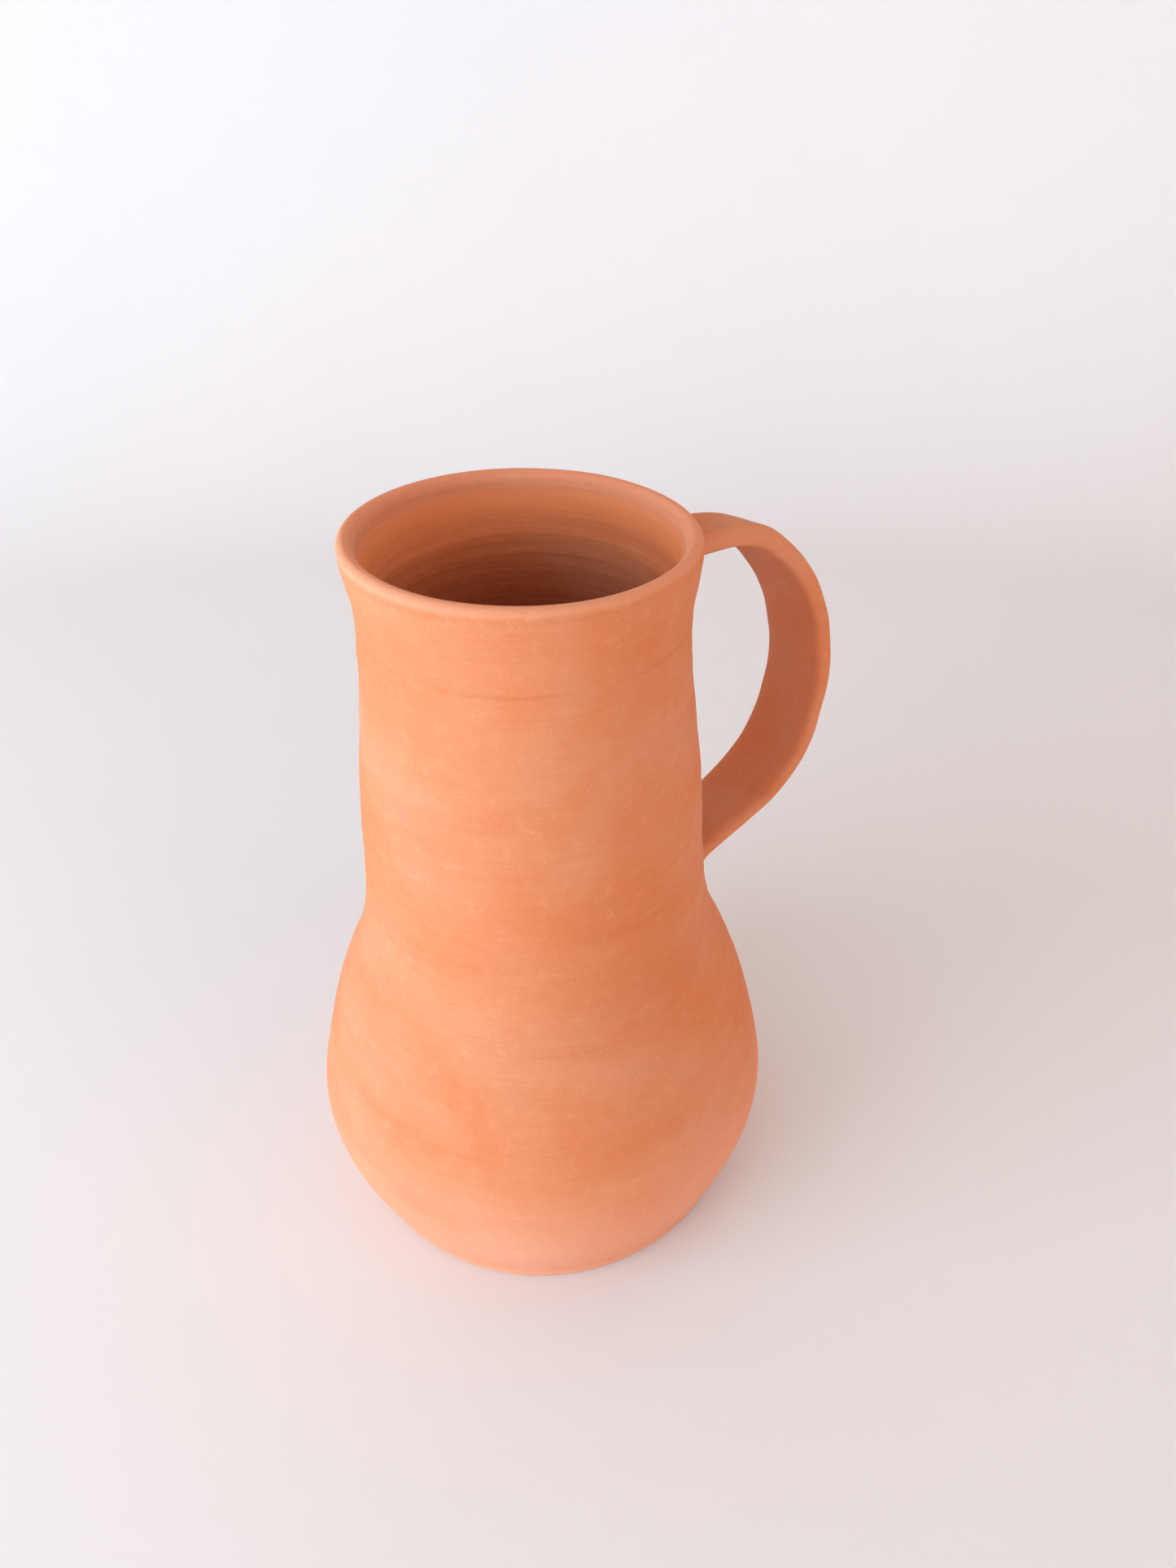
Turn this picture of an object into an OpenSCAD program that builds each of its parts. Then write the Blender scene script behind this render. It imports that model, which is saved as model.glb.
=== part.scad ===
// Hand-thrown terracotta pitcher: a low round belly, a tall tapering neck with
// a soft flared lip, and one pulled strap handle luted to the neck.
// Origin: centre of the foot's flat underside. +Z is up, and the handle
// stands out along +X, in the XZ plane.

/* [Vessel] */
// total height, foot to top of lip
height = 225.5; // [221:0.5:240]
// outer radius at the widest point of the lip
lip_r = 45; // [42:0.5:48]
// thickness of the rounded lip
lip_t = 4.3; // [3.6:0.1:5.6]
// outer radius at the narrowest point of the neck
neck_r = 43; // [40.5:0.1:46]
// height of the narrowest point above the foot
neck_z = 207.5; // [198:0.5:213]
// outer radius where the neck grows out of the shoulder
waist_r = 49.4; // [47.5:0.1:53]
// height of the neck's lower end
waist_z = 142; // [136:1:150]
// outer radius at the steepest point of the shoulder
shoulder_r = 59.3; // [57:0.1:63]
// height of the shoulder's steepest point
shoulder_z = 89; // [84:0.5:93]
// how far the belly has drawn in above its widest ring
belly_fall = 2.4; // [1.6:0.1:4]
// height over which the belly's upper curve draws in
belly_rise = 14; // [11:0.5:20]
// outer radius of the belly, the widest of the body
belly_r = 74.5; // [72:0.5:79]
// height of the belly's widest ring
belly_z = 36.5; // [32:0.5:42]

/* [Foot and walls] */
// radius of the flat underside
foot_r = 65; // [61:0.5:69]
// height of the plain band trimmed above the foot
band_h = 5; // [3:0.5:7]
// how far the trimmed band leans out over its height
band_lean = 1.6; // [1:0.1:2.4]
// wall thickness in the neck
neck_wall = 5; // [4:0.2:6]
// wall thickness low in the belly
belly_wall = 6.6; // [5:0.2:8]
// thickness of the floor
floor_t = 8; // [6:0.5:11]
// radius of the inner corner between floor and wall
floor_corner = 15; // [8:1:20]

/* [Handle] */
// width of the strap at its root under the lip
root_w = 21.5; // [17:0.5:24]
// width of the strap where the crown runs into the grip
grip_w = 25; // [21:0.5:27]
// width of the strap at the lower joint
tail_w = 24; // [20:0.5:28]
// thickness of the strap
strap_t = 6.2; // [5:0.2:8]
// radius of the strap's softened edges
strap_edge = 1.9; // [1:0.1:2.4]
// height of the strap's centre line where it leaves the neck
strap_z = 211.5; // [207:0.5:213]
// radius from the vessel's axis at which the strap starts to bend down
bend_x = 59.5; // [55:0.5:64]
// bend radius of the crown of the handle
crown_r = 26; // [22:0.5:30]
// angle turned by the crown
crown_turn = 37; // [33:1:42]
// bend radius of the long grip
grip_r = 63; // [58:0.5:68]
// angle turned by the grip
grip_turn = 68; // [64:1:73]
// bend radius of the lower return
return_r = 41; // [36:0.5:46]
// angle turned by the lower return
return_turn = 49; // [44:1:54]

/* [Joints] */
// how far the clay worked in round each strap end spreads over the wall
luting_spread = 3.4; // [2:0.2:5]
// how far the luting climbs along the strap
luting_rise = 7; // [4:0.5:9]
// thickness left at the luting's thin edge on the strap
luting_feather = 0.6; // [0.4:0.1:1]

/* [Hidden] */
$fn = 96;
clay = [0.85, 0.52, 0.37];
slip = [0.80, 0.47, 0.33];

// ---- outer profile
// how fast the radius changes with height where the profile's curves meet
foot_slope = 0.34;
belly_top_slope = -0.22;
shoulder_slope = -0.48;
waist_slope = -0.058;
lip_slope = 0.04;

// stations of [radius, height, change of radius with height]
lip_z = height - lip_t / 2;
side_steps = 9;
stations = [
    [foot_r + band_lean, band_h, foot_slope],
    [belly_r, belly_z, 0],
    [belly_r - belly_fall, belly_z + belly_rise, belly_top_slope],
    [shoulder_r, shoulder_z, shoulder_slope],
    [waist_r, waist_z, waist_slope],
    [neck_r, neck_z, 0],
    [lip_r, lip_z, lip_slope],
];

// cubic through two stations, which keeps both radii and both slopes
function blend(a, b, t) =
    let (
        span = b[1] - a[1],
        start_weight = 2 * t ^ 3 - 3 * t ^ 2 + 1,
        start_slope = t ^ 3 - 2 * t ^ 2 + t,
        end_slope = t ^ 3 - t ^ 2
    )
    [
        start_weight * a[0] + (1 - start_weight) * b[0]
            + span * (start_slope * a[2] + end_slope * b[2]),
        a[1] + t * span,
    ];

outer_side = [
    for (i = [0 : len(stations) - 2], k = [0 : side_steps - 1])
        blend(stations[i], stations[i + 1], k / side_steps),
];

// outer radius of the wall at a height
function wall_r(z) = lookup(z, [for (p = outer_side) [p[1], p[0]]]);

// wall thickness eases from the belly's to the lip's on the way up
function wall_at(z) =
    z < neck_z
        ? belly_wall + (neck_wall - belly_wall) * z / neck_z
        : neck_wall + (lip_t - neck_wall) * (z - neck_z) / (lip_z - neck_z);

// point on the inner wall opposite outer point i, measured square to the wall
function inner_point(i) =
    let (
        run = outer_side[i + 1] - outer_side[i - 1],
        square_in = [-run[1], run[0]] / norm(run)
    )
    outer_side[i] + wall_at(outer_side[i][1]) * square_in;

corner_top = floor_t + floor_corner;
inner_side = [
    for (i = [len(outer_side) - 2 : -1 : 1])
        if (inner_point(i)[1] > corner_top) inner_point(i),
];
wall_foot = inner_side[len(inner_side) - 1];
corner_steps = 8;
lip_steps = 12;

// half circle over the lip, from the outer side to the inner side
lip_round = [
    for (k = [0 : lip_steps])
        [lip_r - lip_t / 2, lip_z] + lip_t / 2 * [cos(180 * k / lip_steps), sin(180 * k / lip_steps)],
];

// curve from the foot of the inner wall to the flat of the floor
corner_tuck = 3.5;
knee = [wall_foot[0] - corner_tuck, floor_t];
floor_round = [
    for (k = [1 : corner_steps])
        let (t = k / corner_steps)
            (1 - t) ^ 2 * wall_foot + 2 * t * (1 - t) * knee
                + t ^ 2 * [knee[0] - floor_corner, floor_t],
];

foot_edge = 0.8;
foot_points = [[foot_r - foot_edge, 0], [foot_r + band_lean * foot_edge / band_h, foot_edge]];

module vessel_outer() {
    rotate_extrude()
        polygon(concat([[0, 0]], foot_points, outer_side, lip_round, [[0, lip_z]]));
}

module vessel() {
    color(clay)
        rotate_extrude()
            polygon(concat(
                [[0, 0]], foot_points, outer_side, lip_round,
                inner_side, floor_round, [[0, floor_t]]
            ));
}

// ---- handle: one strap carried along a line, three tangent arcs and a line
// unit vectors along a heading, and square to it on the outside of the bend
function along(heading) = [cos(heading), sin(heading)];
function out_of(heading) = [-sin(heading), cos(heading)];

strap_buried = 6;
line_start = [wall_r(strap_z) - strap_buried, strap_z];
crown_centre = [bend_x, strap_z - crown_r];
grip_heading = -crown_turn;
return_heading = grip_heading - grip_turn;
tail_heading = return_heading - return_turn;
grip_centre = crown_centre + (crown_r - grip_r) * out_of(grip_heading);
return_centre = grip_centre + (grip_r - return_r) * out_of(return_heading);
tail_start = return_centre + return_r * out_of(tail_heading);

// distance along the tail at which it meets the wall, halved in on
function tail_reach(near, far, rounds) =
    let (mid = (near + far) / 2, p = tail_start + mid * along(tail_heading))
    rounds == 0 ? mid
        : p[0] > wall_r(p[1]) ? tail_reach(mid, far, rounds - 1)
        : tail_reach(near, mid, rounds - 1);

tail_length = tail_reach(0, tail_start[0], 20) + strap_buried;
tail_end = tail_start + tail_length * along(tail_heading);

// places [centre point, heading] along a bend, from its first heading downwards
bend_step = 4;
function bend(centre, radius, heading, turn) =
    let (steps = ceil(turn / bend_step))
    [
        for (k = [0 : steps - 1])
            let (h = heading - turn * k / steps)
            [centre + radius * out_of(h), h],
    ];

route = concat(
    [[line_start, 0]],
    bend(crown_centre, crown_r, 0, crown_turn),
    bend(grip_centre, grip_r, grip_heading, grip_turn),
    bend(return_centre, return_r, return_heading, return_turn),
    [[tail_start, tail_heading], [tail_end, tail_heading]]
);

// the strap widens while it turns through the crown, then eases in to the lower joint
function width_at(heading) =
    heading > grip_heading
        ? root_w + (grip_w - root_w) * heading / grip_heading
        : grip_w + (tail_w - grip_w) * (heading - grip_heading) / (tail_heading - grip_heading);

// outline of a strap [across the thickness, across the width], softly edged
edge_steps = 5;
function outline(w, t, r) = [
    for (corner = [0 : 3], k = [0 : edge_steps])
        let (
            turn = 90 * (corner + k / edge_steps),
            side = [corner == 0 || corner == 3 ? 1 : -1, corner < 2 ? 1 : -1]
        )
        [side[0] * (t / 2 - r) + r * cos(turn), side[1] * (w / 2 - r) + r * sin(turn)],
];

// the outline set square to the route at one of its places
function ring(place) = [
    for (p = outline(width_at(place[1]), strap_t, strap_edge))
        let (at = place[0] + p[0] * out_of(place[1]))
        [at[0], p[1], at[1]],
];

module strap() {
    sides = 4 * (edge_steps + 1);
    last = len(route) - 1;
    polyhedron(
        points = [for (place = route) each ring(place)],
        faces = concat(
            [[for (k = [sides - 1 : -1 : 0]) k]],
            [
                for (i = [0 : last - 1], k = [0 : sides - 1])
                    let (next = (k + 1) % sides)
                    [i * sides + k, i * sides + next, (i + 1) * sides + next, (i + 1) * sides + k],
            ],
            [[for (k = [0 : sides - 1]) last * sides + k]]
        )
    );
}

module handle() {
    color(clay)
        difference() {
            strap();
            vessel_outer();
        }
}

// ---- luting: clay worked into the angle between the strap and the wall
sheet = 0.01;
luting_start = strap_buried / 4;

// one end of the wedge: the strap's outline grown on every side
module collar(width, grow) {
    linear_extrude(sheet)
        polygon(outline(width + 2 * grow, strap_t + 2 * grow, strap_edge + grow));
}

// wedge round the strap, wide where it is buried in the wall and feathered out past it
module luting(from, heading, width) {
    difference() {
        translate([from[0], 0, from[1]])
            rotate([0, 90 - heading, 0])
                hull() {
                    translate([0, 0, luting_start])
                        collar(width, luting_spread);
                    translate([0, 0, strap_buried])
                        collar(width, luting_spread);
                    translate([0, 0, strap_buried + luting_rise])
                        collar(width, luting_feather);
                }
        strap();
        vessel_outer();
    }
}

module upper_handle_joint() {
    color(slip)
        luting(line_start, 0, root_w);
}

module lower_handle_joint() {
    color(slip)
        luting(tail_end, tail_heading + 180, tail_w);
}

vessel();
handle();
upper_handle_joint();
lower_handle_joint();
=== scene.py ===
import math

import bpy
import numpy as np
from mathutils import Matrix, Vector


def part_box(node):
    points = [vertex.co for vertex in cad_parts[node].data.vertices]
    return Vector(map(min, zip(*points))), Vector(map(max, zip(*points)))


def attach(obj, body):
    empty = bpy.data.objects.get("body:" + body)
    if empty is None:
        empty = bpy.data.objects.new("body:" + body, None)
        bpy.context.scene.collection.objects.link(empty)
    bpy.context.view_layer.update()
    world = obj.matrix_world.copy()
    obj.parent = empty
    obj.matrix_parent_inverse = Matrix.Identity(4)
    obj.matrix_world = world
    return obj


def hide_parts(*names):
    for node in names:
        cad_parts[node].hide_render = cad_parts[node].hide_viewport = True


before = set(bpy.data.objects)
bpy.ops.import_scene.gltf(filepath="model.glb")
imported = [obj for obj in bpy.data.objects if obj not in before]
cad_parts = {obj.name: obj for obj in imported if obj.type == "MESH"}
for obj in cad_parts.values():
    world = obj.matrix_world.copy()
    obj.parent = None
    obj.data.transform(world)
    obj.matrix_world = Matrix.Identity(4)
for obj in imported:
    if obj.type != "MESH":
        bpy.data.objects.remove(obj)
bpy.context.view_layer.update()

MM = 0.001
TAU = 2 * math.pi


# ---------------------------------------------------------------- numbers and curves


def smoothstep(low, high, x):
    t = np.clip((np.asarray(x, float) - low) / (high - low), 0, 1)
    return t * t * (3 - 2 * t)


def smooth_through(xs, ys, x):
    """Cubic curve through points, with slopes taken from each point's neighbours."""
    slopes = np.gradient(ys, xs)
    x = np.clip(x, xs[0], xs[-1])
    i = np.clip(np.searchsorted(xs, x, side="right") - 1, 0, len(xs) - 2)
    span = xs[i + 1] - xs[i]
    t = (x - xs[i]) / span
    start = 2 * t**3 - 3 * t**2 + 1
    return (
        start * ys[i]
        + (1 - start) * ys[i + 1]
        + span * ((t**3 - 2 * t**2 + t) * slopes[i] + (t**3 - t**2) * slopes[i + 1])
    )


def ripple(x, wavelength, seed, parts=5):
    """Smooth irregular wave about zero along x, within about 1 either way."""
    rng = np.random.default_rng(seed)
    total = np.zeros_like(np.asarray(x, float))
    for _ in range(parts):
        length = wavelength * rng.uniform(0.6, 1.9)
        total = total + np.sin(TAU * (x / length + rng.uniform()))
    return total / math.sqrt(2 * parts)


def turn_ripple(theta, x, wavelength, seed, parts=6, most_turns=4):
    """Smooth irregular field over angle and x that meets itself after a full turn."""
    rng = np.random.default_rng(seed)
    total = np.zeros(np.broadcast(theta, x).shape)
    for _ in range(parts):
        turns = int(rng.integers(0, most_turns + 1)) * rng.choice((-1, 1))
        length = wavelength * rng.uniform(0.6, 1.9)
        total = total + np.sin(turns * theta + TAU * (x / length + rng.uniform()))
    return total / math.sqrt(2 * parts)


def swell(x, centre, width):
    """One rounded hump of height 1."""
    return np.exp(-(((x - centre) / width) ** 2))


# ---------------------------------------------------------------- meshes


def piece_from_rings(name, rings, materials, node, close=False, second_from=None):
    """Mesh from an array [ring, point, xyz] of closed rings, its ends capped unless it closes on
    itself. Faces from ring second_from on take the second material."""
    count, sides, _ = rings.shape
    vertices = rings.reshape(-1, 3)
    steps = count if close else count - 1
    i, k = np.meshgrid(np.arange(steps), np.arange(sides), indexing="ij")
    after, beside = (i + 1) % count, (k + 1) % sides
    quads = np.stack(
        [i * sides + k, i * sides + beside, after * sides + beside, after * sides + k], -1
    )
    faces = quads.reshape(-1, 4).tolist()
    if not close:
        faces.append(list(range(sides))[::-1])
        faces.append([(count - 1) * sides + k for k in range(sides)])
    mesh = bpy.data.meshes.new(name)
    mesh.from_pydata(vertices.tolist(), [], faces)
    mesh.validate()
    mesh.polygons.foreach_set("use_smooth", [True] * len(mesh.polygons))
    for material in materials:
        mesh.materials.append(material)
    if second_from is not None:
        second = [int(face.vertices[0] >= second_from * sides) for face in mesh.polygons]
        mesh.polygons.foreach_set("material_index", second)
    piece = bpy.data.objects.new(name, mesh)
    bpy.context.scene.collection.objects.link(piece)
    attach(piece, "root")
    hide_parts(node)
    return piece


# ---------------------------------------------------------------- the thrown vessel

cad_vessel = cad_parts["vessel"].data
(_, _, foot_z), (_, _, top_z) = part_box("vessel")


def cad_wall(side):
    """Heights and radii of the CAD wall, outside (+1) or inside (-1), from its facets."""
    points = {}
    for face in cad_vessel.polygons:
        centre = Vector((face.center.x, face.center.y, 0))
        if side * face.normal.dot(centre.normalized()) < 0.05:
            continue
        for index in face.vertices:
            corner = cad_vessel.vertices[index].co
            points[round(corner.z, 6)] = math.hypot(corner.x, corner.y)
    heights = np.array(sorted(points))
    return heights, np.array([points[z] for z in heights])


outer_z, outer_r = cad_wall(+1)
inner_z, inner_r = cad_wall(-1)
floor_z = inner_z[0]

LIP_T = 4.3 * MM
LIP_LEAN = math.radians(1.05)
LIP_HIGH_SIDE = math.radians(147)
lip_z = top_z - LIP_T / 2
FOOT_BEVEL = 0.9 * MM
RING_RISE = 4.3 * MM
# marks on the neck: a groove with a ridge above it, a swelling on one side of the neck, and a
# fine groove below the lip's crest
NECK_GROOVE_Z = 204 * MM
NECK_SWELL_Z = 213 * MM
NECK_SWELL_TURN = math.radians(35)
LIP_GROOVE_Z = top_z - 3 * MM
NECK_WANDER, LIP_WANDER, WANDER_TURN = 0.9 * MM, 0.2 * MM, 0.4
NECK_RIDGE_ABOVE = 4 * MM
LIP_INNER_FALL = 2.2 * MM
# the inner wall is meshed finely, and darkens with painted shade, down to this depth
SEEN_DEPTH = 75 * MM
CORNER_RISE, CORNER_RUN = 9 * MM, 14 * MM


def outer_relief(theta, z):
    """How far the handmade outer wall stands off the CAD's true circle."""
    grip = smoothstep(1 * MM, 9 * MM, z)
    loose = 1 - smoothstep(150 * MM, 205 * MM, z)
    out_of_round = 0.22 * np.sin(2 * theta + 0.7) + 0.14 * np.sin(3 * theta - 1.3 + z / (70 * MM))
    fingers = np.sin(TAU * z / RING_RISE + theta + 1.6 * turn_ripple(theta, z, 60 * MM, 3))
    rings = 0.022 * fingers * (0.6 + 0.4 * turn_ripple(theta, z, 45 * MM, 4))
    waves = 0.12 * turn_ripple(theta, z, 27 * MM, 5, most_turns=3)
    dents = 0.055 * turn_ripple(theta, z, 9 * MM, 6, parts=10, most_turns=11)
    pressed = 0.45 * swell(z, NECK_SWELL_Z, 10 * MM) * (0.5 + 0.5 * np.cos(theta + NECK_SWELL_TURN)) ** 2
    wander = np.sin(theta + WANDER_TURN)
    fade = 0.55 + 0.45 * turn_ripple(theta, z, 90 * MM, 7)
    grooves = -0.22 * swell(z, NECK_GROOVE_Z + NECK_WANDER * wander, 1.2 * MM) * fade
    ridge_z = NECK_GROOVE_Z + NECK_RIDGE_ABOVE + NECK_WANDER * wander
    grooves = grooves + 0.16 * swell(z, ridge_z, 2.4 * MM) * fade
    grooves = grooves - 0.15 * swell(z, LIP_GROOVE_Z + LIP_WANDER * wander, 0.9 * MM)
    return MM * grip * (loose * out_of_round + rings + waves + dents + pressed + grooves)


def inner_relief(theta, z):
    """Throwing rings and finger ledges on the inner wall."""
    fingers = np.sin(TAU * z / (1.25 * RING_RISE) + theta + 1.3 * turn_ripple(theta, z, 50 * MM, 11))
    rings = 0.07 * fingers * (0.6 + 0.4 * turn_ripple(theta, z, 40 * MM, 12))
    lines = 0.03 * np.sin(TAU * z / (1.9 * MM) + 2.2 * turn_ripple(theta, z, 30 * MM, 13))
    ledges = 0.20 * swell(z, top_z - 14 * MM, 2.2 * MM) - 0.16 * swell(z, top_z - 10 * MM, 1.8 * MM)
    ledges = ledges + 0.2 * swell(z, top_z - 33 * MM, 2.8 * MM)
    return MM * smoothstep(top_z - 3 * MM, top_z - 8 * MM, z) * (rings + lines + ledges)


def wall_radius(theta, z):
    """Radius of the visible outer wall."""
    return smooth_through(outer_z, outer_r, z) + outer_relief(theta, z)


def lean_lip(points):
    """The lip isn't quite level: tips the top of the neck about a horizontal line."""
    share = smoothstep(0.55 * top_z, 0.98 * top_z, points[..., 2])
    towards = points[..., 0] * math.cos(LIP_HIGH_SIDE) + points[..., 1] * math.sin(LIP_HIGH_SIDE)
    points[..., 2] += share * towards * math.tan(LIP_LEAN)
    return points


def vessel_rings(sides=216):
    theta = np.linspace(0, TAU, sides, endpoint=False)
    foot_r = outer_r[0]
    rings = []

    def add(radius, z):
        radius = radius + 0 * theta
        rings.append(np.stack([radius * np.cos(theta), radius * np.sin(theta), z + 0 * theta], -1))

    # flat underside with faint trimming marks, then the foot's softened edge
    for radius in np.linspace(2 * MM, foot_r - 2.2 * FOOT_BEVEL, 26):
        mark = 0.05 * MM * (1 + np.sin(TAU * radius / (3.1 * MM) + theta))
        add(radius, foot_z + mark * smoothstep(foot_r - 2 * MM, foot_r - 9 * MM, radius))
    for turn in np.linspace(0, math.pi / 2, 6):
        add(
            foot_r - FOOT_BEVEL + FOOT_BEVEL * math.sin(turn),
            foot_z + FOOT_BEVEL * (1 - math.cos(turn)),
        )

    for z in np.linspace(foot_z + 1.6 * MM, lip_z, 214):
        add(wall_radius(theta, z), z)

    # lip: round outside, longer and softer on the inside
    outer_edge = wall_radius(theta, lip_z)
    inner_top = lip_z - LIP_INNER_FALL
    inner_edge = np.interp(inner_top, inner_z, inner_r)
    crest = (outer_edge + inner_edge) / 2 + 0.25 * MM
    uneven = 0.10 * MM * turn_ripple(theta, 0 * theta, 1, 21, most_turns=7)
    for turn in np.linspace(0, math.pi / 2, 12)[1:]:
        rise = (LIP_T / 2 + uneven) * math.sin(turn)
        add(crest + (outer_edge - crest) * math.cos(turn), lip_z + rise)
    inside_from = len(rings) - 1
    for turn in np.linspace(math.pi / 2, math.pi, 12)[1:-1]:
        rise = (LIP_T / 2 + LIP_INNER_FALL + uneven) * math.sin(turn)
        add(crest + (crest - inner_edge) * math.cos(turn), inner_top + rise)

    seen_to = top_z - SEEN_DEPTH
    upper_inside = np.linspace(inner_top, seen_to, 92, endpoint=False)
    for z in np.concatenate([upper_inside, np.linspace(seen_to, floor_z + CORNER_RISE, 58)]):
        add(smooth_through(inner_z, inner_r, z) + inner_relief(theta, z), z)

    # inner corner, then the floor with its spiral
    corner_r = float(np.interp(floor_z + CORNER_RISE, inner_z, inner_r))
    for turn in np.linspace(0, math.pi / 2, 10)[1:]:
        add(
            corner_r - CORNER_RUN * (1 - math.cos(turn)),
            floor_z + CORNER_RISE * (1 - math.sin(turn)),
        )
    for radius in np.linspace(corner_r - CORNER_RUN - 1 * MM, 2 * MM, 30):
        spiral = 0.35 * MM * np.sin(TAU * radius / (6 * MM) + theta)
        add(radius, floor_z + spiral * smoothstep(1 * MM, 8 * MM, radius) + 0.4 * MM)
    return lean_lip(np.array(rings)), inside_from


# ---------------------------------------------------------------- the pulled strap

handle_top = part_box("handle")[1][2]
STRAP_T = 6.2 * MM
# width in millimetres at shares of the strap's length, from the lip to the lower joint
WIDTH_STATIONS = (0, 0.15, 0.3, 0.5, 0.72, 0.88, 1)
STRAP_WIDTHS = (22, 21, 24.5, 25, 25.3, 24.3, 23.2)
CROWN_R, CROWN_TURN = 26 * MM, math.radians(37)
GRIP_R, GRIP_TURN = 63 * MM, math.radians(68)
RETURN_R, RETURN_TURN = 41 * MM, math.radians(49)
BEND_X = 59.5 * MM
ROOT_ROLL = math.radians(8)
# how flat the strap's faces are, and how square the edges of its outer and inner faces,
# at the crown, in the grip and at the lower joint
EDGE_STATIONS = (0, 0.4, 1)
FLATNESS, OUTER_EDGE, INNER_EDGE = (13, 11, 6), (2.4, 2.4, 2.2), (3.4, 3.0, 2.1)
BURIED = 3 * MM


def out_of(heading):
    """Unit vector [x, z] on the outside of a path with that heading."""
    return np.array([-math.sin(heading), math.cos(heading)])


def strap_route(spacing=0.8 * MM):
    """Centre line of the strap as [x, z] points and headings, from the lip to the lower neck."""
    strap_z = handle_top - STRAP_T / 2
    start = np.array([wall_radius(0.0, strap_z) - BURIED, strap_z])
    points, headings = [], []
    for x in np.arange(start[0], BEND_X, spacing):
        points.append(np.array([x, strap_z]))
        headings.append(0.0)
    at, heading = np.array([BEND_X, strap_z]), 0.0
    for radius, turn in ((CROWN_R, CROWN_TURN), (GRIP_R, GRIP_TURN), (RETURN_R, RETURN_TURN)):
        centre = at - radius * out_of(heading)
        steps = int(radius * turn / spacing)
        for k in range(steps):
            h = heading - turn * k / steps
            points.append(centre + radius * out_of(h))
            headings.append(h)
        heading -= turn
        at = centre + radius * out_of(heading)
    ahead = np.array([math.cos(heading), math.sin(heading)])
    while at[0] > wall_radius(0.0, at[1]) - BURIED:
        points.append(at)
        headings.append(heading)
        at = at + spacing * ahead
    return np.array(points), np.array(headings)


route, route_heading = strap_route()
route_length = np.concatenate([[0], np.cumsum(np.hypot(*np.diff(route, axis=0).T))])
route_share = route_length / route_length[-1]


def strap_outline(half_w, half_t, share, sides):
    """Evenly spaced points round the strap: [across the width, through the thickness].
    Its edges are soft on the outside of the bend and crisper on the inside."""
    flatness, outer_edge, inner_edge = (
        np.interp(share, EDGE_STATIONS, power) for power in (FLATNESS, OUTER_EDGE, INNER_EDGE)
    )
    turn = np.linspace(0, TAU, 1441)
    c, s = np.cos(turn), np.sin(turn)
    across = half_w * np.sign(c) * np.abs(c) ** (2 / flatness)
    through = half_t * np.sign(s) * np.abs(s) ** (2 / np.where(s > 0, outer_edge, inner_edge))
    length = np.concatenate([[0], np.cumsum(np.hypot(np.diff(across), np.diff(through)))])
    even = np.linspace(0, length[-1], sides, endpoint=False)
    return np.interp(even, length, across), np.interp(even, length, through)


def strap_rings(sides=88):
    width = MM * smooth_through(np.array(WIDTH_STATIONS), np.array(STRAP_WIDTHS), route_share)
    width = width + 0.2 * MM + 0.3 * MM * ripple(route_length, 34 * MM, 31)
    thick = STRAP_T * (1.03 + 0.04 * ripple(route_length, 26 * MM, 32))
    roll = ROOT_ROLL * (1 - smoothstep(0.1, 0.5, route_share))
    side_drift = 0.2 * MM * ripple(route_length, 45 * MM, 33)
    face_drift = 0.16 * MM * ripple(route_length, 22 * MM, 34)
    rings = []
    for i, (at, heading) in enumerate(zip(route, route_heading)):
        across, through = strap_outline(width[i] / 2, thick[i] / 2, route_share[i], sides)
        pulled = 0.05 * MM * np.sin(across / (2.1 * MM) + 0.8 * math.sin(route_length[i] / (31 * MM)))
        through = through + np.sign(through) * pulled + face_drift[i]
        across = across + side_drift[i]
        y = across * math.cos(roll[i]) + through * math.sin(roll[i])
        rise = through * math.cos(roll[i]) - across * math.sin(roll[i])
        out = out_of(heading)
        rings.append(np.stack([at[0] + rise * out[0], y, at[1] + rise * out[1]], -1))
    return np.array(rings)


# ---------------------------------------------------------------- clay worked in round each end


def joint_rings(strap, climb, spread, seed):
    """Concave fillet from the strap to the wall. strap's rings run away from the wall."""
    count, sides, _ = strap.shape
    turn = np.linspace(0, TAU, sides, endpoint=False)
    centre = strap.mean(axis=1)
    radius = np.hypot(strap[..., 0], strap[..., 1])
    theta = np.arctan2(strap[..., 1], strap[..., 0])
    outside = radius > wall_radius(theta, strap[..., 2])
    first_out = np.argmax(outside, axis=0)
    uneven = 1 + 0.16 * turn_ripple(turn, 0 * turn, 1, seed, most_turns=4)

    step = np.linalg.norm(centre[1] - centre[0])
    index = np.arange(sides)
    root = strap[first_out, index]
    on_strap = first_out + climb * uneven / step
    low = np.floor(on_strap).astype(int)
    part = (on_strap - low)[:, None]
    top = (1 - part) * strap[low, index] + part * strap[low + 1, index]

    away = root - centre[first_out]
    away /= np.linalg.norm(away, axis=1)[:, None]
    foot = on_wall(root + away * (spread * uneven)[:, None], -0.15 * MM)
    top = top - 0.12 * MM * away
    corner = 0.84 * on_wall(root, 0.0) + 0.08 * (top + foot)

    rings = []
    for t in np.linspace(0, 1, 16):
        rings.append((1 - t) ** 2 * top + 2 * t * (1 - t) * corner + t**2 * foot)
    buried = on_wall(root, -1.5 * MM) - 1.2 * MM * away
    for t in (0.8, 0.5, 0.2):
        rings.append((1 - t) ** 2 * top + 2 * t * (1 - t) * buried + t**2 * foot - 0.2 * MM * away)
    return np.array(rings)


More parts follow.
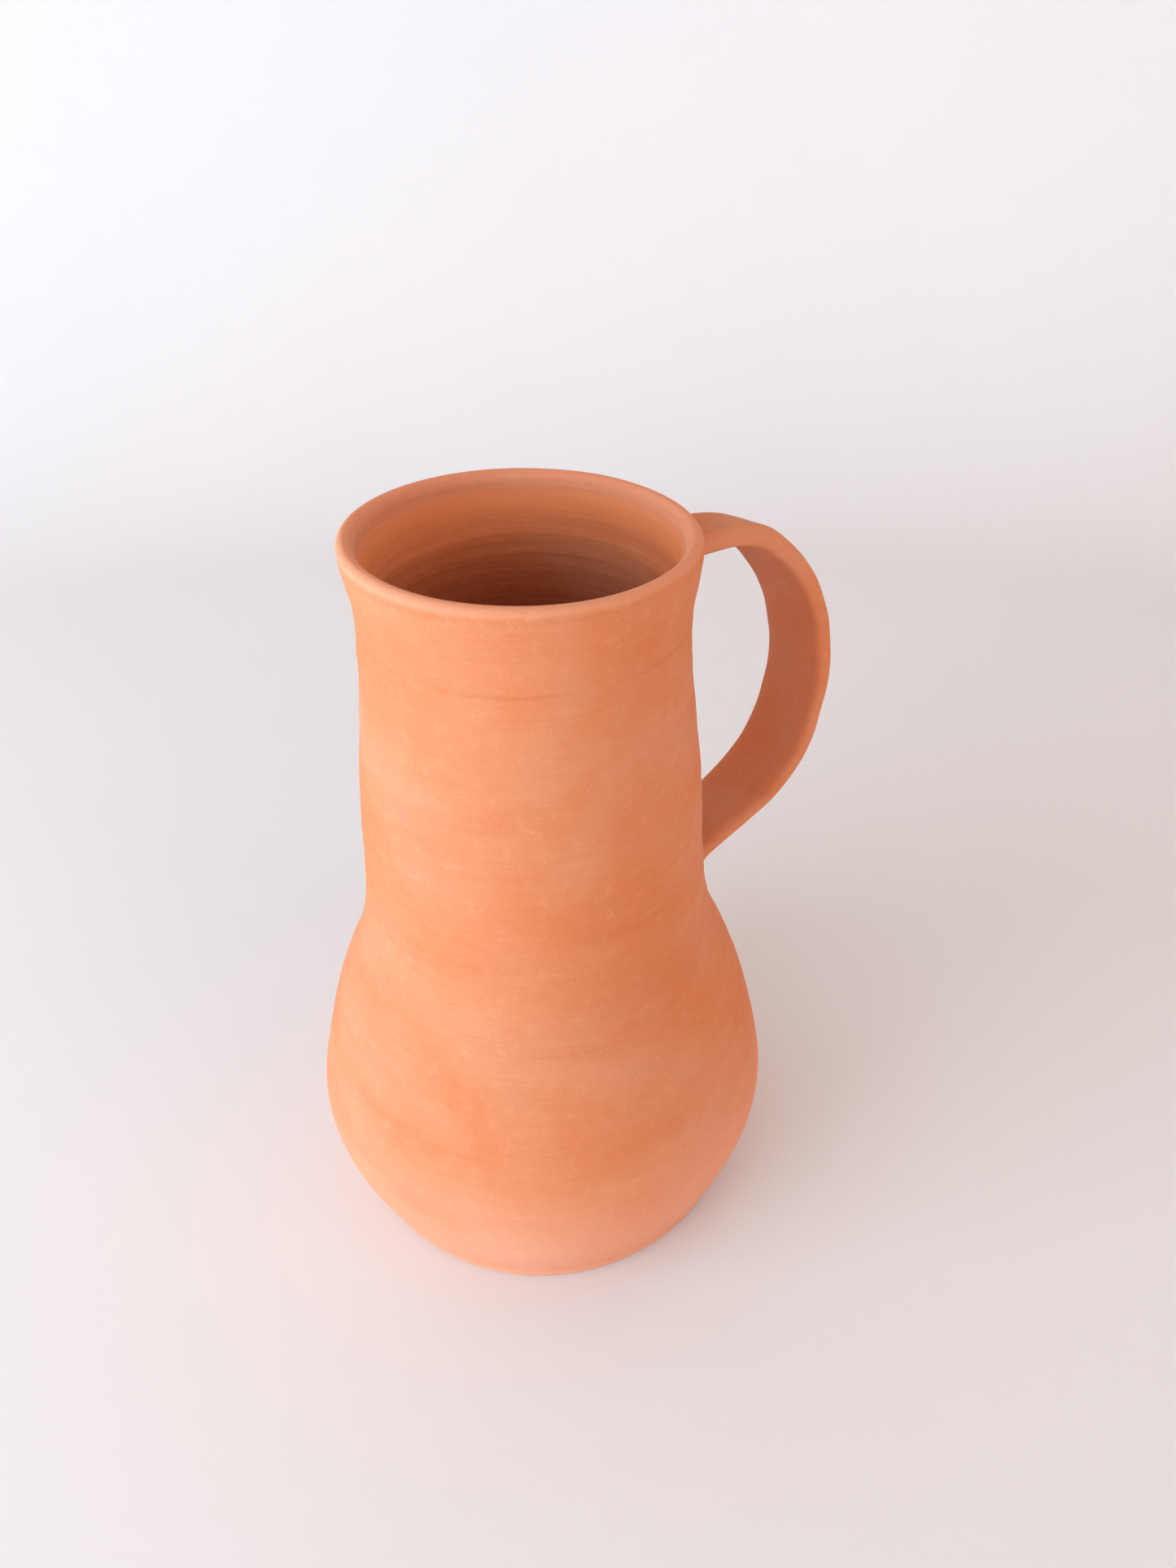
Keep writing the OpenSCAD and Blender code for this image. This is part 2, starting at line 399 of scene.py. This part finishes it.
def on_wall(points, lift):
    """Points moved level with themselves to the outer wall, lift above it."""
    theta = np.arctan2(points[..., 1], points[..., 0])
    radius = wall_radius(theta, points[..., 2]) + lift
    return np.stack([radius * np.cos(theta), radius * np.sin(theta), points[..., 2]], -1)


# ---------------------------------------------------------------- materials


def linear(red, green, blue):
    """Screen colour, 0 to 255, as the linear colour that shaders use."""
    def channel(value):
        value /= 255
        return value / 12.92 if value <= 0.04045 else ((value + 0.055) / 1.055) ** 2.4

    return channel(red), channel(green), channel(blue), 1.0


class Graph:
    """A node material, with short ways to add nodes and join them."""

    def __init__(self, name):
        self.material = bpy.data.materials.new(name)
        self.material.use_nodes = True
        self.tree = self.material.node_tree
        self.shader = self.tree.nodes["Principled BSDF"]
        self.place = self.add("ShaderNodeTexCoord").outputs["Object"]

    def add(self, kind, settings=None, **inputs):
        node = self.tree.nodes.new(kind)
        for key, value in (settings or {}).items():
            setattr(node, key, value)
        for key, value in inputs.items():
            self.put(node.inputs[int(key[1:]) if key[0] == "_" else key.replace("_", " ")], value)
        return node

    def put(self, socket, value):
        if isinstance(value, bpy.types.NodeSocket):
            self.tree.links.new(value, socket)
        else:
            socket.default_value = value

    def stretched(self, x, y, z):
        return self.add("ShaderNodeMapping", Vector=self.place, Scale=(x, y, z)).outputs[0]

    def noise(self, where, scale, detail=4.0, roughness=0.55, distortion=0.0):
        return self.add(
            "ShaderNodeTexNoise",
            Vector=where, Scale=scale, Detail=detail, Roughness=roughness, Distortion=distortion,
        ).outputs["Fac"]

    def band(self, value, low, high, to_low=0.0, to_high=1.0):
        return self.add(
            "ShaderNodeMapRange", {"interpolation_type": "SMOOTHSTEP"},
            Value=value, From_Min=low, From_Max=high, To_Min=to_low, To_Max=to_high,
        ).outputs[0]

    def math(self, operation, a, b=0.0):
        return self.add("ShaderNodeMath", {"operation": operation}, _0=a, _1=b).outputs[0]

    def mix(self, share, a, b, blend="MIX"):
        node = self.add("ShaderNodeMix", {"data_type": "RGBA", "blend_type": blend})
        self.put(node.inputs[0], share)
        self.put(node.inputs[6], a)
        self.put(node.inputs[7], b)
        return node.outputs[2]

    def grains(self, scale, size, share, ragged=0.0):
        """Mask of grains: cells of 1/scale metres, of which a share hold a grain of that size."""
        where = self.place
        if ragged:
            wobble = self.add("ShaderNodeTexNoise", Vector=where, Scale=18 * scale, Detail=2.0)
            push = self.add("ShaderNodeVectorMath", {"operation": "SCALE"}, _0=wobble.outputs["Color"])
            self.put(push.inputs["Scale"], ragged * size / scale)
            where = self.add(
                "ShaderNodeVectorMath", {"operation": "ADD"}, _0=where, _1=push.outputs[0]
            ).outputs[0]
        cells = self.add("ShaderNodeTexVoronoi", Vector=where, Scale=scale)
        near = self.band(cells.outputs["Distance"], size, size * 0.55)
        pick = self.add("ShaderNodeSeparateColor", Color=cells.outputs["Color"]).outputs[0]
        return self.math("MULTIPLY", near, self.math("LESS_THAN", pick, share))

    def groove(self, z, wander, strength):
        """Soft thin mask along a groove pressed round the neck, for the painted shade in it."""
        place = self.add("ShaderNodeSeparateXYZ", Vector=self.place)
        share = wander / float(np.interp(z, outer_z, outer_r))
        lean = self.math(
            "ADD",
            self.math("MULTIPLY", place.outputs["X"], share * math.sin(WANDER_TURN)),
            self.math("MULTIPLY", place.outputs["Y"], share * math.cos(WANDER_TURN)),
        )
        off = self.math("SUBTRACT", self.math("SUBTRACT", place.outputs["Z"], float(z)), lean)
        broken = self.band(self.noise(self.place, 26, 2), 0.38, 0.62, 0.15, 1.0)
        line = self.band(self.math("ABSOLUTE", off), 0.0011, 0.0, 0.0, strength)
        return self.math("MULTIPLY", line, broken)

    def bump(self, height, strength, distance, below=None):
        node = self.add("ShaderNodeBump", Height=height, Strength=strength, Distance=distance)
        if below is not None:
            self.put(node.inputs["Normal"], below)
        return node.outputs["Normal"]


# pairs of heights: where each mask of tone, painted light or painted shade is empty, and where it is
# full
FOOT_LIGHT_MASK = 9.5 * MM, 6.5 * MM
LOW_BELLY_LIGHT_MASK = 74 * MM, 26 * MM
CHIPS_MASK = 75 * MM, 50 * MM
PAINTED_LIGHT_INSIDE_MASK = top_z - 26 * MM, top_z - 8 * MM
PAINTED_LIGHT_INSIDE_TOP_MASK = top_z - 2 * MM, top_z - 6 * MM
DEPTH_SHADE_MASK = top_z - 10 * MM, top_z - SEEN_DEPTH
# how far the worn lip and its painted highlight reach down
WORN_HIGHLIGHT_OUTSIDE, WORN_HIGHLIGHT_INSIDE = 2.6 * MM, 8 * MM


def terracotta(name, streaks, seed_shift=0.0, inside=False, grooves=()):
    """Unglazed fired earthenware: drifting tone, throwing streaks, grog specks, pits and grain.
    Inside the vessel it is painted brighter and more orange under the lip, as painted light, and darker
    with depth, as painted shade."""
    g = Graph(name)
    shift = g.add("ShaderNodeMapping", Vector=g.place, Location=(seed_shift, 0, 0)).outputs[0]
    height = g.add("ShaderNodeSeparateXYZ", Vector=g.place).outputs["Z"]

    drift = g.noise(shift, 19, 3, 0.5, 0.4)
    bands = g.noise(g.stretched(11, 11, 48), 1, 4, 0.55, 0.3)
    lines = g.noise(g.stretched(24, 24, 900), 1, 3, 0.6, 0.1)
    mottle = g.noise(shift, 260, 4, 0.6)
    grain = g.noise(shift, 2100, 3, 0.65)

    colour = g.mix(g.band(drift, 0.34, 0.68), linear(209, 123, 79), linear(211, 136, 100))
    colour = g.mix(g.band(bands, 0.48, 0.72, 0, 0.34), colour, linear(199, 108, 63))
    colour = g.mix(g.band(bands, 0.45, 0.28, 0, 0.25), colour, linear(216, 147, 115))
    colour = g.mix(g.band(lines, 0.42, 0.72, 0, streaks), colour, linear(176, 91, 53))
    colour = g.mix(g.band(lines, 0.45, 0.26, 0, 0.7 * streaks), colour, linear(223, 157, 116))
    colour = g.mix(g.band(mottle, 0.56, 0.74, 0, 0.16), colour, linear(191, 107, 67))
    colour = g.mix(g.band(mottle, 0.46, 0.28, 0, 0.22), colour, linear(223, 155, 115))

    # painted light: the trimmed foot and the low belly are painted a little paler and pinker, for light
    # from low down and bounced up from below
    foot = g.band(g.math("ADD", height, g.math("MULTIPLY", bands, 0.006)), *FOOT_LIGHT_MASK)
    colour = g.mix(g.math("MULTIPLY", foot, 0.35), colour, linear(213, 147, 119))
    # painted light: the low belly is paler, standing in for light from low down
    low = g.band(g.math("ADD", height, g.math("MULTIPLY", bands, 0.014)), *LOW_BELLY_LIGHT_MASK)
    colour = g.mix(g.math("MULTIPLY", low, 0.45), colour, linear(240, 174, 146))
    # painted shade: the grooves are painted a darker red
    for groove_z, wander, strength in grooves:
        colour = g.mix(g.groove(groove_z, wander, strength), colour, linear(182, 96, 58))
    if inside:
        # painted light: brighter and more orange just under the lip inside, where light falls in through
        # the mouth
        painted_light_inside = g.band(height, *PAINTED_LIGHT_INSIDE_MASK, 0, 0.60)
        painted_light_inside = g.math("MULTIPLY", painted_light_inside, g.band(height, *PAINTED_LIGHT_INSIDE_TOP_MASK))
        colour = g.mix(painted_light_inside, colour, linear(242, 144, 90))
        # painted shade: darker further down inside, where less light reaches
        depth = g.band(height, *DEPTH_SHADE_MASK)
        colour = g.mix(depth, colour, linear(228, 214, 206), "MULTIPLY")
    # the worn lip is a little paler, partly wear and partly a painted highlight, with a softer edge
    # inside
    reach = WORN_HIGHLIGHT_INSIDE if inside else WORN_HIGHLIGHT_OUTSIDE
    worn_highlight = g.band(height, top_z - reach, top_z - 0.3 * reach, 0, 0.38)
    colour = g.mix(worn_highlight, colour, linear(242, 170, 138))

    # grog: fine pale specks that gather in clouds, larger flecks, dark pits and a few chips
    clouds = g.band(g.noise(shift, 42, 3, 0.6), 0.36, 0.62, 0.25, 1.0)
    specks = g.math("MULTIPLY", g.grains(1500, 0.27, 0.22), clouds)
    flecks = g.grains(520, 0.105, 0.12)
    pits = g.grains(170, 0.042, 0.035)
    chips = g.grains(34, 0.030, 0.16, ragged=0.4)
    colour = g.mix(g.math("MULTIPLY", specks, 0.62), colour, linear(233, 181, 129))
    colour = g.mix(g.math("MULTIPLY", flecks, 0.65), colour, linear(234, 194, 143))
    colour = g.mix(g.math("MULTIPLY", pits, 0.8), colour, linear(85, 42, 23))
    # the chips are only low on the body
    low_chips = g.math("MULTIPLY", chips, g.band(height, *CHIPS_MASK))
    colour = g.mix(g.math("MULTIPLY", low_chips, 0.6), colour, linear(234, 196, 161))
    g.put(g.shader.inputs["Base Color"], colour)

    g.put(g.shader.inputs["Roughness"], g.band(g.math("ADD", mottle, grain), 0.6, 1.4, 0.80, 0.97))
    g.put(g.shader.inputs["Specular IOR Level"], 0.25)

    normal = g.bump(bands, 0.20, 0.0010)
    normal = g.bump(lines, 0.15 + 0.7 * streaks, 0.00020, normal)
    normal = g.bump(mottle, 0.25, 0.00030, normal)
    normal = g.bump(grain, 0.50, 0.00012, normal)
    relief = g.math("SUBTRACT", g.math("ADD", specks, flecks), g.math("MULTIPLY", pits, 3.0))
    normal = g.bump(relief, 0.4, 0.00008, normal)
    g.put(g.shader.inputs["Normal"], normal)
    return g.material


# ---------------------------------------------------------------- building the pitcher

outside_clay = terracotta(
    "terracotta_thrown", streaks=0.10,
    grooves=((NECK_GROOVE_Z, NECK_WANDER, 0.30), (LIP_GROOVE_Z, LIP_WANDER, 0.16)),
)
inside_clay = terracotta("terracotta_inside", streaks=0.42, seed_shift=0.3, inside=True)
strap_clay = terracotta("terracotta_pulled", streaks=0.05, seed_shift=0.7)
luting = terracotta("terracotta_luting", streaks=0.05, seed_shift=0.7)

body, inside_from = vessel_rings()
piece_from_rings(
    "vessel_body", body, [outside_clay, inside_clay], "vessel",
    second_from=inside_from,
)
strap = strap_rings()
piece_from_rings("handle_strap", strap, [strap_clay], "handle")
upper = joint_rings(strap, climb=6 * MM, spread=4 * MM, seed=41)
piece_from_rings(
    "upper_luting", upper, [luting], "upper_handle_joint", close=True
)
lower = joint_rings(strap[::-1], climb=8 * MM, spread=6.5 * MM, seed=42)
piece_from_rings(
    "lower_luting", lower, [luting], "lower_handle_joint", close=True
)


# ---------------------------------------------------------------- stage, light and camera


# The viewer's directions: x to the right, y away, z up. The handle points along
# the frame's +X, which is this far round from the viewer's right, going away.
HANDLE_AZIMUTH = math.radians(32.5)
EYE = (0.0160, -0.2434, 0.3245)
PITCH = math.radians(35.96)
ROLL = math.radians(0.42)
# focal length as a share of the picture's longer side
LENS_SHARE = 0.664245
SENSOR = 36

# the stage is a bowl: a flat floor that curves up into a wall all the way round
BOWL_CENTRE = (0.0, -0.75)
BOWL_R, BOWL_BEND, BOWL_TALL = 1.6, 0.35, 2.4


def from_viewer(place):
    return Matrix.Rotation(-HANDLE_AZIMUTH, 3, "Z") @ Vector(place)


def stage_bowl(sides=128):
    """Pale floor and wall, set so that the wall stands well behind the pitcher."""
    profile = [(0.3, 0.0), (BOWL_R - BOWL_BEND, 0.0)]
    for turn in np.linspace(0, math.pi / 2, 17)[1:]:
        profile.append((
            BOWL_R - BOWL_BEND + BOWL_BEND * math.sin(turn), BOWL_BEND * (1 - math.cos(turn))
        ))
    profile.append((BOWL_R, BOWL_TALL))
    turns = np.linspace(0, TAU, sides, endpoint=False)
    vertices = [
        (BOWL_CENTRE[0] + radius * math.cos(turn), BOWL_CENTRE[1] + radius * math.sin(turn), z)
        for radius, z in profile for turn in turns
    ]
    faces = [tuple(range(sides))]
    for i in range(len(profile) - 1):
        for k in range(sides):
            beside = (k + 1) % sides
            faces.append((
                i * sides + k, (i + 1) * sides + k, (i + 1) * sides + beside, i * sides + beside
            ))
    mesh = bpy.data.meshes.new("stage_bowl")
    mesh.from_pydata(vertices, [], faces)
    mesh.polygons.foreach_set("use_smooth", [True] * len(mesh.polygons))
    g = Graph("stage_paint")
    tone = g.mix(g.noise(g.place, 3, 2), linear(226, 222, 223), linear(231, 227, 228))
    g.put(g.shader.inputs["Base Color"], tone)
    g.put(g.shader.inputs["Roughness"], 0.9)
    mesh.materials.append(g.material)
    bowl = bpy.data.objects.new("stage_bowl", mesh)
    bpy.context.scene.collection.objects.link(bowl)
    bowl.rotation_euler.z = -HANDLE_AZIMUTH


def add_light(name, at, aim, size, power, colour):
    light = bpy.data.lights.new(name, "AREA")
    light.shape = "RECTANGLE"
    light.size, light.size_y = size
    light.energy = power
    light.color = colour
    lamp = bpy.data.objects.new(name, light)
    lamp.location = from_viewer(at)
    lamp.rotation_euler = (Vector(from_viewer(aim)) - lamp.location).to_track_quat("-Z", "Y").to_euler()
    lamp.visible_camera = False
    bpy.context.scene.collection.objects.link(lamp)


def add_camera():
    data = bpy.data.cameras.new("photo_view")
    data.sensor_fit = "AUTO"
    data.sensor_width = SENSOR
    data.lens = SENSOR * LENS_SHARE
    data.clip_start = 0.01
    camera = bpy.data.objects.new("photo_view", data)
    forward = Vector((0, math.cos(PITCH), -math.sin(PITCH)))
    level = Vector((1, 0, 0))
    down = forward.cross(level)
    right = math.cos(ROLL) * level + math.sin(ROLL) * down
    up = math.sin(ROLL) * level - math.cos(ROLL) * down
    turn = Matrix((right, up, -forward)).transposed()
    turn = Matrix.Rotation(-HANDLE_AZIMUTH, 3, "Z") @ turn
    camera.matrix_world = Matrix.Translation(from_viewer(EYE)) @ turn.to_4x4()
    bpy.context.scene.collection.objects.link(camera)
    bpy.context.scene.camera = camera


def set_surroundings():
    world = bpy.data.worlds.new("studio")
    world.use_nodes = True
    background = world.node_tree.nodes["Background"]
    background.inputs["Color"].default_value = (1.0, 0.93, 0.87, 1.0)
    background.inputs["Strength"].default_value = 0.45
    bpy.context.scene.world = world
    bpy.context.scene.view_settings.view_transform = "Standard"


stage_bowl()
# cool light from a window on the left, strongest low down, and from in front;
# warm light from the right and from above
add_light("window_low", (-1.05, -0.55, 0.20), (0, 0, 0.08), (0.9, 0.4), 13.5, (0.68, 0.86, 1.0))
add_light("window_left", (-1.05, -0.55, 0.50), (0, 0, 0.08), (0.9, 0.9), 6.4, (0.76, 0.90, 1.0))
add_light("front_soft", (-0.55, -1.20, 0.55), (0, 0, 0.10), (0.9, 0.8), 4.7, (0.76, 0.92, 1.0))
add_light("fill_right", (1.0, -0.75, 0.45), (0, 0, 0.10), (0.9, 0.9), 5.5, (1.0, 0.73, 0.54))
add_light("top_soft", (0.0, 0.35, 1.5), (0, 0, 0.10), (1.0, 1.0), 2.7, (1.0, 0.76, 0.51))
add_camera()
set_surroundings()
